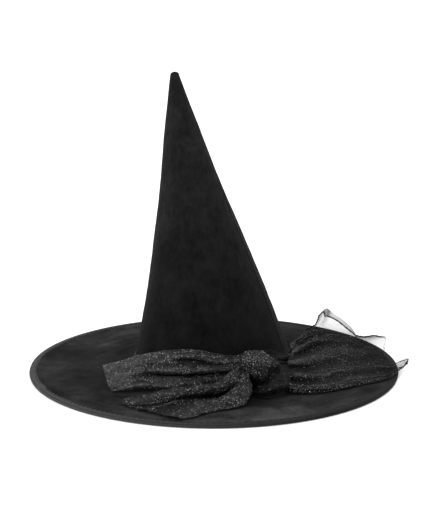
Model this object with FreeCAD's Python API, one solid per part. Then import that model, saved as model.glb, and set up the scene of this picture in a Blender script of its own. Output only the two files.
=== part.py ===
"""Pointed costume hat: a leaning cone crown on a wired round brim, with a knotted sheer sash.

The hat stands on its brim. Origin: centre of the head opening, in the plane that the brim rests on.
+Z is up, +X is towards the sash's sheer tail, and -Y is the side that the knot is on. Millimetres.
"""

import FreeCAD, Part

import math
import os

from FreeCAD import Vector

os.makedirs("parts", exist_ok=True)

# Driving dimensions
BRIM_RADIUS = 216.5
HEIGHT = 367.0
HEAD_RADIUS = 90.5           # inside the sweatband, for a head of 57 cm
CROWN_BASE_RADIUS = 94.4     # outside of the crown where it stands on the brim
TIP_RADIUS = 4.4
WAIST = 2.2                  # how far the cone's sides are hollowed halfway up
TIP_LEAN = -46.0             # how far the tip leans along X
SEAM_ANGLE = -18.0           # where the crown is sewn up, in degrees from +X
THREAD_RADIUS = 0.25
THREAD_GAP = 0.05            # between a stitch and the cloth that it lies on

# Brim layers, from the surface that the hat stands on upwards
BINDING_CLOTH = 0.5
VELOUR = 0.8
BRIM_FELT = 2.4
BINDING_WIDTH = 8.5
WIRE_RADIUS = 0.9
SLEEVE_RADIUS = 1.15         # outside of the crimped sleeve on the wire
HOLE_CLEARANCE = 0.6

UNDER_VELOUR_Z = BINDING_CLOTH
FELT_Z = UNDER_VELOUR_Z + VELOUR
TOP_VELOUR_Z = FELT_Z + BRIM_FELT
BRIM_TOP = TOP_VELOUR_Z + VELOUR
BINDING_TOP = BRIM_TOP + BINDING_CLOTH
BRIM_HOLE_RADIUS = HEAD_RADIUS + 0.5 + HOLE_CLEARANCE
VELOUR_EDGE = BRIM_RADIUS - BINDING_CLOTH - 0.1
WIRE_RING = VELOUR_EDGE - SLEEVE_RADIUS
FELT_EDGE = WIRE_RING - SLEEVE_RADIUS - 0.1

# Crown layers, as insets from the outside of the crown
TIP_Z = HEIGHT - TIP_RADIUS
TAPER = (CROWN_BASE_RADIUS - TIP_RADIUS) / (TIP_Z - BRIM_TOP)
CROWN_VELOUR = (0.0, 0.82)
CROWN_STIFFENER = (0.87, 2.1)
SEAM_ALLOWANCE = (2.15, 2.75)
CROWN_LINING = (2.8, 3.15)
SWEATBAND = (CROWN_BASE_RADIUS - HEAD_RADIUS - 0.5, CROWN_BASE_RADIUS - HEAD_RADIUS)
SWEATBAND_TOP = 32.0
SWEATBAND_FOOT = BRIM_TOP    # below this the band is upright, and above it follows the crown
STIFFENER_TOP = 352.0
LINING_TOP = 336.0

# Sash
BAND_INSET = (-3.6, -0.4)
BAND_BOTTOM = BRIM_TOP + 0.7
BAND_MID_TOP = 29.0          # the band's top edge, over the hat's axis
BAND_TILT = 2.5              # how far the top edge is tilted up, in degrees
BAND_HIGH_SIDE = -70.0       # and towards where, in degrees from +X
DRAWN_UP = Vector(66.0, -62.0, 27.0)   # middle of the place where the knot draws the band up
DRAWN_UP_REACH = 20.0
KNOT_CENTRE = Vector(59.0, -103.0, 32.5)
KNOT_HALF = (25.0, 17.0, 27.0)
UPPER_TAIL_HINGE = (28.0, 43.5)   # X and Z of the line that each tail lifts about
LOWER_TAIL_HINGE = (38.0, 14.0)
SHEER_TAIL_HINGE = (94.0, 28.5)

# Care label, hung from the sweatband's top edge over the crown's seam
LABEL_WIDTH = 22.0
LABEL_DROP = 23.0
LABEL_CLOTH = 0.5
LABEL_REACH = 81.3           # from the hat's axis to the label's middle
LABEL_TOP = 29.0


def lean(z):
    """How far the crown's centre has moved along X at height z."""
    t = max(0.0, (z - BRIM_TOP) / (HEIGHT - BRIM_TOP))
    return TIP_LEAN * (0.4 * t + 1.3 * t**2 - 0.7 * t**3)


def crown_radius(z, inset=0.0):
    t = max(0.0, (z - BRIM_TOP) / (TIP_Z - BRIM_TOP))
    hollow = WAIST * math.sin(math.pi * t**1.3) ** 2
    return CROWN_BASE_RADIUS - TAPER * (z - BRIM_TOP) - hollow - inset


def disc(inner, outer, bottom, top):
    """A flat ring about the hat's axis."""
    height = top - bottom
    whole = Part.makeCylinder(outer, height, Vector(0, 0, bottom))
    return whole.cut(Part.makeCylinder(inner, height, Vector(0, 0, bottom)))


def cone(inset, bottom, top, sections=11):
    """The solid inside the crown's surface, set in by inset, between two heights."""
    rings = []
    for i in range(sections):
        z = bottom + (top - bottom) * i / (sections - 1)
        rings.append(Part.Wire(Part.makeCircle(crown_radius(z, inset), Vector(lean(z), 0, z))))
    return Part.makeLoft(rings, True, False)


def cone_shell(insets, bottom, top, closed_by=0.0):
    """One cloth layer of the crown. closed_by is how thick its closed end is, or 0 where it is open."""
    outer_inset, inner_inset = insets
    inner_top = top - closed_by if closed_by else top + 1.0
    return cone(outer_inset, bottom, top).cut(cone(inner_inset, bottom - 1.0, inner_top))


def solids(*shapes):
    return Part.makeCompound(list(shapes))


def save(name, shape):
    """Writes one node, and says how many solids it has and whether they are sound."""
    found = shape.Solids
    sound = all(s.isValid() and s.Volume > 0 for s in found)
    box = shape.BoundBox
    size = f"{box.XLength:.1f} x {box.YLength:.1f} x {box.ZLength:.1f}"
    volume = sum(s.Volume for s in found)
    print(f"{name:24s} {len(found):4d} solids  {'ok ' if sound else 'BAD'} {size}  {volume / 1000:.2f} cm3")
    kept = found[0] if len(found) == 1 else Part.makeCompound(found)
    kept.exportStep(f"parts/{name}.step")


def thread(start, end):
    """One stitch: a short straight length of thread."""
    line = end - start
    return Part.makeCylinder(THREAD_RADIUS, line.Length, start, line)


def stitch_ring(count, length, place):
    """Stitches round the hat. place gives the thread's radius, height and centre along X."""
    stitches = []
    for i in range(count):
        radius, height, centre = place
        angle = 2 * math.pi * i / count
        middle = Vector(centre + radius * math.cos(angle), radius * math.sin(angle), height)
        along = Vector(-math.sin(angle), math.cos(angle), 0)
        stitches.append(thread(middle - along * (length / 2), middle + along * (length / 2)))
    return solids(*stitches)


# ---------------------------------------------------------------- brim


def make_brim():
    save("brim_under_velour", disc(BRIM_HOLE_RADIUS, VELOUR_EDGE, UNDER_VELOUR_Z, FELT_Z))
    save("brim_stiffener", disc(BRIM_HOLE_RADIUS, FELT_EDGE, FELT_Z, TOP_VELOUR_Z))
    save("brim_top_velour", disc(BRIM_HOLE_RADIUS, VELOUR_EDGE, TOP_VELOUR_Z, BRIM_TOP))


def make_binding():
    """A tape folded over the brim's edge: a lower leg, the fold and an upper leg."""
    inner = BRIM_RADIUS - BINDING_WIDTH
    whole = disc(inner, BRIM_RADIUS, 0.0, BINDING_TOP)
    outer_edges = [
        e for e in whole.Edges if abs(e.BoundBox.XMax - BRIM_RADIUS) < 0.01 and e.BoundBox.ZLength < 0.01
    ]
    whole = whole.makeFillet(1.2, outer_edges)
    channel = disc(inner - 1.0, BRIM_RADIUS - BINDING_CLOTH, UNDER_VELOUR_Z, BRIM_TOP)
    save("brim_binding", whole.cut(channel))
    save("binding_stitches", stitch_ring(180, 4.2, (inner + 1.8, BINDING_TOP + THREAD_RADIUS + THREAD_GAP, 0.0)))


def make_wire():
    """A sprung steel hoop inside the binding, its ends held together in a crimped sleeve."""
    gap = 1.0            # between the wire's ends, in degrees
    start = 200.0        # where the ends meet, in degrees from +X
    middle_z = (FELT_Z + TOP_VELOUR_Z) / 2
    section = Part.Face(Part.Wire(Part.makeCircle(WIRE_RADIUS, Vector(WIRE_RING, 0, middle_z), Vector(0, 1, 0))))
    hoop = section.revolve(Vector(0, 0, 0), Vector(0, 0, 1), 360.0 - gap)
    hoop.rotate(Vector(0, 0, 0), Vector(0, 0, 1), start + gap / 2)
    save("brim_wire", hoop)
    sleeve_length = 4.0  # in degrees
    outer = Part.Face(Part.Wire(Part.makeCircle(SLEEVE_RADIUS, Vector(WIRE_RING, 0, middle_z), Vector(0, 1, 0))))
    sleeve = outer.cut(section).revolve(Vector(0, 0, 0), Vector(0, 0, 1), sleeve_length)
    sleeve.rotate(Vector(0, 0, 0), Vector(0, 0, 1), start - sleeve_length / 2)
    save("wire_sleeve", sleeve)


# ---------------------------------------------------------------- crown


def make_crown():
    tip = Part.makeSphere(TIP_RADIUS, Vector(lean(TIP_Z), 0, TIP_Z), Vector(0, 0, 1), 0, 90)
    outside = cone(CROWN_VELOUR[0], BRIM_TOP, TIP_Z).fuse(tip)
    inside = cone(CROWN_VELOUR[1], BRIM_TOP - 1.0, TIP_Z - 2.0)
    save("crown_velour", outside.cut(inside).removeSplitter())
    save("crown_stiffener", cone_shell(CROWN_STIFFENER, BRIM_TOP, STIFFENER_TOP, closed_by=3.0))
    save("crown_lining", cone_shell(CROWN_LINING, BRIM_TOP, LINING_TOP, closed_by=1.5))


def make_seam():
    """The crown's one seam, pressed open inside: two turned-in margins of the cone panel."""
    margin, slit = 8.0, 0.3
    layer = cone_shell(SEAM_ALLOWANCE, SWEATBAND_TOP + 2.0, 300.0)
    margins = []
    for side in (slit, -slit - margin):
        strip = Part.makeBox(120.0, margin, 400.0, Vector(0, side, 0))
        strip.rotate(Vector(0, 0, 0), Vector(0, 0, 1), SEAM_ANGLE)
        margins.append(layer.common(strip))
    save("crown_seam_margins", solids(*margins))


def make_sweatband():
    inner_inset = SWEATBAND[1]
    outer_inset = SWEATBAND[0]
    foot = Part.makeCylinder(HEAD_RADIUS + 0.5, SWEATBAND_FOOT)
    bore = Part.makeCylinder(HEAD_RADIUS, SWEATBAND_FOOT)
    outside = foot.fuse(cone(outer_inset, SWEATBAND_FOOT, SWEATBAND_TOP, 4))
    inside = bore.fuse(cone(inner_inset, SWEATBAND_FOOT, SWEATBAND_TOP + 1.0, 4))
    save("sweatband", outside.cut(inside))
    row_z = SWEATBAND_FOOT + 3.0
    row = (crown_radius(row_z, inner_inset) - THREAD_RADIUS - 2 * THREAD_GAP, row_z, lean(row_z))
    save("sweatband_stitches", stitch_ring(72, 4.5, row))


def make_base_stitches():
    """Slip stitches that join the crown's foot to the brim, hidden by the sash."""
    count, reach = 60, 0.9
    stitches = []
    for i in range(count):
        angle = 2 * math.pi * i / count
        out = Vector(math.cos(angle), math.sin(angle), 0)
        foot = out * (CROWN_BASE_RADIUS + 0.45) + Vector(0, 0, BRIM_TOP + THREAD_RADIUS + THREAD_GAP)
        stitches.append(thread(foot, foot + out * reach))
    save("crown_base_stitches", solids(*stitches))


def make_label():
    """A folded cloth care label, blank, with the bar of thread that holds its top edge."""
    label = Part.makeBox(
        LABEL_CLOTH,
        LABEL_WIDTH,
        LABEL_DROP,
        Vector(LABEL_REACH - LABEL_CLOTH / 2, -LABEL_WIDTH / 2, LABEL_TOP - LABEL_DROP),
    )
    bar_z = LABEL_TOP + 2 * THREAD_RADIUS
    bar_half = LABEL_WIDTH / 2 - 1.0
    bar = thread(Vector(LABEL_REACH, -bar_half, bar_z), Vector(LABEL_REACH, bar_half, bar_z))
    for shape in (label, bar):
        shape.rotate(Vector(0, 0, 0), Vector(0, 0, 1), SEAM_ANGLE)
    save("care_label", label)
    save("label_bar_tack", bar)


# ---------------------------------------------------------------- sash


def sections_solid(sections):
    """A soft piece as a solid through four-cornered sections. Each is (x, [(y, z), ...])."""
    wires = []
    for x, corners in sections:
        points = [Vector(x, y, z) for y, z in corners]
        wires.append(Part.makePolygon(points + points[:1]))
    return Part.makeLoft(wires, True, True)


def make_band():
    """The part of the sash that is wound round the crown's foot, drawn up higher beside the knot."""
    reach = 2 * CROWN_BASE_RADIUS
    highest = DRAWN_UP.z + DRAWN_UP_REACH + 1.0
    above = Part.makeBox(2 * reach, 2 * reach, reach, Vector(-reach, -reach, 0))
    above.rotate(Vector(0, 0, 0), Vector(0, 1, 0), -BAND_TILT)
    above.rotate(Vector(0, 0, 0), Vector(0, 0, 1), BAND_HIGH_SIDE)
    above.translate(Vector(0, 0, BAND_MID_TOP))
    ring = cone(BAND_INSET[0], BAND_BOTTOM, highest, 5)
    ring = ring.cut(cone(BAND_INSET[1], BAND_BOTTOM - 1.0, highest + 1.0, 5))
    save("sash_band", ring.cut(above.cut(Part.makeSphere(DRAWN_UP_REACH, DRAWN_UP))))


def make_knot():
    ball = Part.makeSphere(1.0)
    size = FreeCAD.Matrix()
    size.scale(*KNOT_HALF)
    ball = ball.transformGeometry(size)
    ball.translate(KNOT_CENTRE)
    clear_of_band = cone(BAND_INSET[0] - 0.5, BRIM_TOP, 80.0, 5)
    save("sash_knot", ball.cut(clear_of_band))


def make_tails():
    hinge_x, hinge_z = UPPER_TAIL_HINGE
    floor = BRIM_TOP + 0.7
    upper = [
        (hinge_x, [(-112, hinge_z - 10), (-110, hinge_z + 6), (-103, hinge_z + 6), (-103, hinge_z - 10)]),
        (0, [(-113, 22), (-109, 54), (-95, 54), (-103, 22)]),
        (-35, [(-108, 14), (-104, 57), (-90, 57), (-98, 14)]),
        (-75, [(-92, 9), (-82, 46), (-70, 46), (-80, 9)]),
        (-104, [(-95, floor), (-64, 35), (-55, 32), (-84, floor)]),
        (-124, [(-93, floor), (-66, 28), (-59, 26), (-84, floor)]),
    ]
    save("sash_tail_upper", sections_solid(upper))
    hinge_x, hinge_z = LOWER_TAIL_HINGE
    lower = [
        (hinge_x, [(-132, floor), (-128, 24), (-116, 24), (-116, floor)]),
        (12, [(-158, floor), (-156, 16), (-118, 24), (-116, floor)]),
        (-22, [(-176, floor), (-174, 13), (-118, 21), (-116, floor)]),
        (-41, [(-202, floor), (-199, 11), (-118, 18), (-116, floor)]),
        (-75, [(-174, floor), (-171, 10), (-119, 14), (-118, floor)]),
        (-108, [(-146, floor), (-142, 9), (-122, 11), (-121, floor)]),
    ]
    save("sash_tail_lower", sections_solid(lower))
    hinge_x, hinge_z = SHEER_TAIL_HINGE
    thin = 3.0
    sheer_top = [
        (hinge_x + 3, [(-103, 13), (-55, 25), (20, 27), (108, 13)]),
        (122, [(-101, 10), (-40, 15), (60, 14), (164, 13)]),
        (146, [(-88, 10), (-20, 14), (70, 12), (152, 28)]),
        (192, [(-54, 10), (0, 11), (50, 13), (78, 26)]),
        (227, [(12, 10), (17, 11), (22, 12), (27, 13)]),
    ]
    sheer = []
    for x, top in sheer_top:
        under = [(y, z - thin) for y, z in reversed(top)]
        sheer.append((x, top + under))
    save("sash_tail_sheer", sections_solid(sheer))


def make_tacks():
    """Three tacks of thread that hold the sash band to the crown, at its top edge."""
    count = 3
    tacks = []
    for i in range(count):
        angle = math.radians(60.0 + 360.0 * i / count)
        out = Vector(math.cos(angle), math.sin(angle), 0)
        towards_high_side = math.cos(angle - math.radians(BAND_HIGH_SIDE))
        z = BAND_MID_TOP + math.tan(math.radians(BAND_TILT)) * towards_high_side * CROWN_BASE_RADIUS + 1.2
        start = Vector(lean(z), 0, z) + out * (crown_radius(z) + 0.3)
        tacks.append(thread(start, start + out * 3.0))
    save("sash_tacks", solids(*tacks))


make_brim()
make_binding()
make_wire()
make_crown()
make_seam()
make_sweatband()
make_base_stitches()
make_label()
make_band()
make_knot()
make_tails()
make_tacks()
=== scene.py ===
# %% [markdown]
# # A velour witch hat with a speckled sash
# This lesson dresses a finished CAD model. The CAD holds every size, joint and collision shape, and
# this script gives each piece its looks: pile, tape, thread and sheer cloth. It reads only the frame.

# %% Load the frame
import math

import bpy
import numpy as np
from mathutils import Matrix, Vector, noise


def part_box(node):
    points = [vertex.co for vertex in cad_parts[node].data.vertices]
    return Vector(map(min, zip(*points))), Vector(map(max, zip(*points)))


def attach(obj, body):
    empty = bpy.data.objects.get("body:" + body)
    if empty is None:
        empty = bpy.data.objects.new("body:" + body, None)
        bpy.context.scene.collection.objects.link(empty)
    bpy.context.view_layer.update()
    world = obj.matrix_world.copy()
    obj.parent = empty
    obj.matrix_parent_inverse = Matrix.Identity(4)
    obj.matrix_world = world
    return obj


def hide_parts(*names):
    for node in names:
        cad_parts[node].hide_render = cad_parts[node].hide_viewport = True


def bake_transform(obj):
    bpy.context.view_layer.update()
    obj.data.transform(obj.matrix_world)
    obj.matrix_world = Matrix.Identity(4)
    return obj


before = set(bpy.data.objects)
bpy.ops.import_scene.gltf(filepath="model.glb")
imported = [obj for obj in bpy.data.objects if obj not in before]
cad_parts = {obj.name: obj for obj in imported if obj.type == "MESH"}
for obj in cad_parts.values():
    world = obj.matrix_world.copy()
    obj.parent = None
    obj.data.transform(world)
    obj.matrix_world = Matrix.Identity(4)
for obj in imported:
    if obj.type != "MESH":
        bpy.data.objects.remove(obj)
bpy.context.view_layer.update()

MM = 0.001

# %% [markdown]
# ## The hat's driving sizes
# The crown is a cone whose centre line leans more and more towards its tip. The sizes come from the
# CAD nodes' boxes, so a change there moves the crown, brim and binding here. The lean, the waist and the
# tip's radius are repeated, and the sash is pinned at millimetre places of its own.

# %% Crown and brim sizes
crown_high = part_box("crown_velour")[1]
brim_low, brim_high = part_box("brim_top_velour")
binding_low, binding_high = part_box("brim_binding")
BRIM_TOP = brim_high[2]
HEIGHT = crown_high[2]
BASE_RADIUS = crown_high[0]
TIP_RADIUS = 4.4 * MM
TIP_LEAN = -46 * MM
WAIST = 2.2 * MM
BRIM_RADIUS = binding_high[0]
BINDING_TOP = binding_high[2]
SEAM_ANGLE = math.radians(-18)
VIEW_ELEVATION = math.radians(16.29)
TIP_Z = HEIGHT - TIP_RADIUS
TAPER = (BASE_RADIUS - TIP_RADIUS) / (TIP_Z - BRIM_TOP)


def lean(z):
    """How far the crown's centre has moved along X at height z."""
    t = max(0.0, (z - BRIM_TOP) / (HEIGHT - BRIM_TOP))
    return TIP_LEAN * (0.4 * t + 1.3 * t**2 - 0.7 * t**3)


def crown_radius(z):
    """The cone's outside radius, with its sides a little hollow halfway up."""
    t = max(0.0, (z - BRIM_TOP) / (TIP_Z - BRIM_TOP))
    return BASE_RADIUS - TAPER * (z - BRIM_TOP) - WAIST * math.sin(math.pi * t**1.3) ** 2


def ripple(x, y, z, size):
    """Smooth noise from -1 to 1, with bumps about size across."""
    return noise.noise(Vector((x, y, z)) / size)


print("brim radius", round(BRIM_RADIUS, 4), "height", round(HEIGHT, 4))

# %% [markdown]
# ## Camera
# A long lens from a little above the brim, so that the brim reads as a flat ellipse and the cone's
# two edges stay straight.

# %% Camera
camera_data = bpy.data.cameras.new("camera")
camera_data.lens = 600
camera = bpy.data.objects.new("camera", camera_data)
bpy.context.scene.collection.objects.link(camera)
aim = Vector((0.003, 0.0, 0.1416))
CAMERA_DISTANCE = 10.05
camera.location = aim + CAMERA_DISTANCE * Vector((0, -math.cos(VIEW_ELEVATION), math.sin(VIEW_ELEVATION)))
camera.rotation_euler = (aim - camera.location).to_track_quat("-Z", "Y").to_euler()
bpy.context.scene.camera = camera

# %% [markdown]
# ## Studio
# Black cloth shows its shape only by soft light that grazes it. A bright surround and a big pale
# floor light it from all round, a wide light from the left gives the binding its sheen, helped by a
# painted highlight in the tape's colour, and a second one from above and behind picks out the sash's
# specks.

# %% Floor and light
floor_mesh = bpy.data.meshes.new("floor")
FLOOR_HALF = 16.0
corners = [(FLOOR_HALF * x, FLOOR_HALF * y, 0) for x, y in ((-1, -1), (1, -1), (1, 1), (-1, 1))]
floor_mesh.from_pydata(corners, [], [(0, 1, 2, 3)])
floor = bpy.data.objects.new("floor", floor_mesh)
floor.location.z = binding_low[2] - 0.2 * MM
bpy.context.scene.collection.objects.link(floor)

floor_paint = bpy.data.materials.new("pale floor")
floor_paint.use_nodes = True
floor_shader = floor_paint.node_tree.nodes["Principled BSDF"].inputs
floor_shader["Base Color"].default_value = (0.95, 0.95, 0.95, 1)
floor_shader["Roughness"].default_value = 0.9
floor_shader["Emission Color"].default_value = (1, 1, 1, 1)
floor_shader["Emission Strength"].default_value = 0.35
floor_mesh.materials.append(floor_paint)

world = bpy.data.worlds.new("studio")
world.use_nodes = True
surround = world.node_tree.nodes["Background"].inputs
surround["Color"].default_value = (1, 1, 1, 1)
surround["Strength"].default_value = 0.72
bpy.context.scene.world = world
bpy.context.scene.view_settings.view_transform = "Standard"


def wide_light(name, place, softness, strength):
    """A far, wide soft light that shines from place towards the hat, as evenly on the floor as on it."""
    data = bpy.data.lights.new(name, "SUN")
    data.angle = math.radians(softness)
    data.energy = strength
    lamp = bpy.data.objects.new(name, data)
    lamp.location = place
    lamp.rotation_euler = (aim - Vector(place)).to_track_quat("-Z", "Y").to_euler()
    bpy.context.scene.collection.objects.link(lamp)


wide_light("left_light", (-1.8, -1.0, 1.6), 40, 1.1)
wide_light("top_light", (0.6, 0.7, 2.4), 50, 0.75)

# %% [markdown]
# ## Material helper
# Each finish is a Principled shader with a little node work in front of it. Positions come from the
# object's own coordinates in metres, which equal the hat's, so grain has its real size.

# %% Material helper
LAYOUT_STEP = 200


class Finish:
    """Builds one node material. Each helper adds a node and returns its useful output."""

    def __init__(self, name, **shader):
        self.material = bpy.data.materials.new(name)
        self.material.use_nodes = True
        self.tree = self.material.node_tree
        self.shader = self.tree.nodes["Principled BSDF"]
        for socket, value in shader.items():
            self.shader.inputs[socket.replace("_", " ")].default_value = value
        self.place = self.node("ShaderNodeTexCoord").outputs["Object"]

    def node(self, kind, links=(), **settings):
        made = self.tree.nodes.new(kind)
        made.location.x = -LAYOUT_STEP * len(self.tree.nodes)
        for key, value in settings.items():
            setattr(made, key, value)
        for socket, value in dict(links).items():
            if isinstance(value, bpy.types.NodeSocket):
                self.tree.links.new(value, made.inputs[socket])
            else:
                made.inputs[socket].default_value = value
        return made

    def stretch(self, x, y, z):
        """Object coordinates scaled along each axis, for grain that runs one way."""
        mapping = self.node("ShaderNodeMapping", {"Vector": self.place, "Scale": (x, y, z)})
        return mapping.outputs["Vector"]

    def noise(self, per_metre, detail=3.0, vector=None, roughness=0.55):
        made = self.node("ShaderNodeTexNoise", {"Vector": vector or self.place, "Scale": per_metre,
                                                "Detail": detail, "Roughness": roughness})
        return made.outputs["Fac"]

    def remap(self, value, from_low, from_high, to_low=0.0, to_high=1.0):
        made = self.node("ShaderNodeMapRange", {"Value": value, "From Min": from_low, "From Max": from_high,
                                                "To Min": to_low, "To Max": to_high})
        return made.outputs["Result"]

    def sums(self, operation, a, b):
        return self.node("ShaderNodeMath", {0: a, 1: b}, operation=operation).outputs[0]

    def times(self, a, b):
        return self.sums("MULTIPLY", a, b)

    def plus(self, a, b):
        return self.sums("ADD", a, b)

    def mark(self, name):
        """A number that the mesh carries on each of its points."""
        return self.node("ShaderNodeAttribute", attribute_name=name).outputs["Fac"]

    def axis(self, name):
        return self.node("ShaderNodeSeparateXYZ", {0: self.place}).outputs[name]

    def mix(self, factor, dark, light, blend="MIX"):
        made = self.node("ShaderNodeMix", data_type="RGBA", blend_type=blend)
        for index, value in ((0, factor), (6, dark), (7, light)):
            if isinstance(value, bpy.types.NodeSocket):
                self.tree.links.new(value, made.inputs[index])
            elif index == 0:
                made.inputs[0].default_value = value
            else:
                made.inputs[index].default_value = (*value, 1.0)
        return made.outputs[2]

    def paint(self, socket, value):
        self.tree.links.new(value, self.shader.inputs[socket])

    def bump(self, height, strength, depth):
        made = self.node("ShaderNodeBump", {"Height": height, "Strength": strength, "Distance": depth})
        self.paint("Normal", made.outputs["Normal"])


def grey(value, warmth=0.0):
    return (value * (1 + warmth), value, value * (1 - warmth))


# %% [markdown]
# ## Velour
# Velour is a short dense pile on a knit back. It is nearly black seen straight on, paler where it is
# seen across the pile, and where it was brushed or pressed it keeps soft patches. Layers of noise
# make the patches and the pile. A mark on the mesh paints paler and darker patches on the brim, partly
# the pile's own and partly painted light and shade. The tone is also painted darker towards the crown's
# foot, a painted shade, and paler at the brim's front, a painted light.

# %% Velour
def velour(name, dark, light, foot=1.0, front=1.0, broad=0.0):
    """foot multiplies the tone at the crown's foot, a painted shade there, and front multiplies it at the
    brim's front, a painted light there. broad is how much the widest patches count."""
    cloth = Finish(name, Roughness=0.95, Specular_IOR_Level=0.05, Sheen_Weight=0.03, Sheen_Roughness=0.5)
    patches = cloth.noise(34, 5, cloth.stretch(1.0, 1.0, 0.85), 0.65)
    streaks = cloth.noise(210, 4, cloth.stretch(1.0, 1.0, 0.6), 0.7)
    areas = cloth.times(cloth.sums("SUBTRACT", cloth.noise(13, 2), 0.5), broad)
    blend = cloth.plus(cloth.plus(cloth.times(patches, 0.6), cloth.times(streaks, 0.4)), areas)
    worn = cloth.mix(cloth.remap(blend, 0.36, 0.66), grey(dark), grey(light, 0.01))
    # Painted shade darkens the crown towards its foot, and painted light makes the brim paler towards its
    # front.
    lift = cloth.remap(cloth.axis("Z"), 0.05, 0.36, foot, 1.0)
    front_painted_light = cloth.remap(cloth.axis("Y"), -0.09, -0.21, 1.0, front)
    # The mark adds paler and darker patches: the pile's own, together with painted light and shade.
    pile_light_and_shade = cloth.times(cloth.times(lift, front_painted_light), cloth.plus(cloth.mark("patch_light_and_shade"), 1.0))
    cloth.paint("Base Color", cloth.mix(1.0, worn, pile_light_and_shade, "MULTIPLY"))
    pile = cloth.plus(cloth.noise(1700, 2), cloth.times(cloth.noise(260, 3), 0.8))
    cloth.bump(pile, 0.5, 0.0006)
    return cloth.material


# The crown's foot is painted darker, a painted shade, and the brim's front paler, a painted light.
crown_cloth = velour("crown velour", dark=0.0058, light=0.0235, foot=0.38)
brim_cloth = velour("brim velour", dark=0.004, light=0.022, front=2.1, broad=0.7)
print("velours:", crown_cloth.name, brim_cloth.name)

# %% [markdown]
# ## Tape, thread, felt and lining
# The edge is bound with a fine tape, which takes more light than the pile beside it. Its colour is
# painted paler on the side towards the left light, a painted highlight. Its thread is a tight twist.
# Felt and lining are seen from below.

# %% Plain cloths
def ribbed_tape(name, dark, light, roughness, sheen, shine=0.45, lit_side_gain=1.0):
    """nap is how many times paler the tape is painted on the -X side, a painted highlight where it faces the
    left light.
    """
    tape = Finish(name, Roughness=roughness, Specular_IOR_Level=shine, Sheen_Weight=sheen,
                  Sheen_Roughness=0.35)
    weave = tape.noise(900, 2)
    side = tape.remap(tape.axis("X"), -BRIM_RADIUS, 0.6 * BRIM_RADIUS, 1.0, 0.0)
    darker = tape.mix(side, grey(dark), grey(dark * lit_side_gain))
    paler = tape.mix(side, grey(light), grey(light * lit_side_gain))
    tape.paint("Base Color", tape.mix(tape.remap(weave, 0.35, 0.65), darker, paler))
    tape.bump(weave, 0.35, 0.0003)
    return tape.material


def spun_thread(name, value):
    thread = Finish(name, Roughness=0.7, Specular_IOR_Level=0.12, Sheen_Weight=0.02)
    twist = thread.noise(3000, 1, thread.stretch(1, 1, 2.5))
    thread.paint("Base Color", thread.mix(twist, grey(value * 0.5), grey(value * 1.4)))
    thread.bump(twist, 0.5, 0.0002)
    return thread.material


def matted_felt(name, dark, light):
    felt = Finish(name, Roughness=0.97, Specular_IOR_Level=0.1, Sheen_Weight=0.2)
    fibres = felt.noise(700, 5, roughness=0.7)
    felt.paint("Base Color", felt.mix(felt.remap(fibres, 0.3, 0.7), grey(dark), grey(light)))
    felt.bump(fibres, 0.6, 0.0006)
    return felt.material


# The binding tape is painted paler on its -X side, a painted highlight from the left light.
tape_black = ribbed_tape("binding tape", 0.006, 0.011, roughness=0.7, sheen=0.02, shine=0.12, lit_side_gain=6.8)
band_black = ribbed_tape("sweatband tape", 0.02, 0.035, roughness=0.6, sheen=0.2)
lining_black = ribbed_tape("lining cloth", 0.012, 0.022, roughness=0.5, sheen=0.15)
thread_black = spun_thread("black thread", 0.03)
felt_black = matted_felt("stiff felt", 0.012, 0.03)
label_white = ribbed_tape("label satin", 0.6, 0.72, roughness=0.45, sheen=0.2)

steel = Finish("spring wire", Metallic=1.0, Roughness=0.3)
steel.paint("Base Color", steel.mix(steel.noise(500, 2), (0.42, 0.43, 0.45), (0.6, 0.61, 0.63)))
sleeve_metal = Finish("crimped sleeve", Metallic=1.0, Roughness=0.38)
sleeve_metal.paint("Base Color", sleeve_metal.mix(sleeve_metal.noise(800, 3), grey(0.5), grey(0.75)))

CAD_FINISHES = {
    "brim_under_velour": brim_cloth, "brim_stiffener": felt_black, "crown_stiffener": felt_black,
    "crown_lining": lining_black, "crown_seam_margins": crown_cloth, "sweatband": band_black,
    "brim_wire": steel.material, "wire_sleeve": sleeve_metal.material, "care_label": label_white,
}
for node in ("binding_stitches", "sweatband_stitches", "crown_base_stitches", "sash_tacks", "label_bar_tack"):
    CAD_FINISHES[node] = thread_black
for node, material in CAD_FINISHES.items():
    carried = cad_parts[node]
    carried.data.materials.clear()
    carried.data.materials.append(material)
print("CAD nodes finished:", len(CAD_FINISHES))

# %% [markdown]
# ## Sheer speckled cloth
# The sash is organza, a see-through net of fine threads, printed with silver specks. How much it hides
# goes from a sixth in the fan's puffs to all of it in packed folds. Its colour is painted dark in the
# bottoms of folds and pale on their ridges, as painted shade and painted light, with noise patches
# painted as the light and shade of crumpled cloth. The specks are small cells of a Voronoi pattern,
# placed mostly on the ridges, each with its own brightness, a painted glint, and real flakes are laid
# on top of them later.

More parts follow.
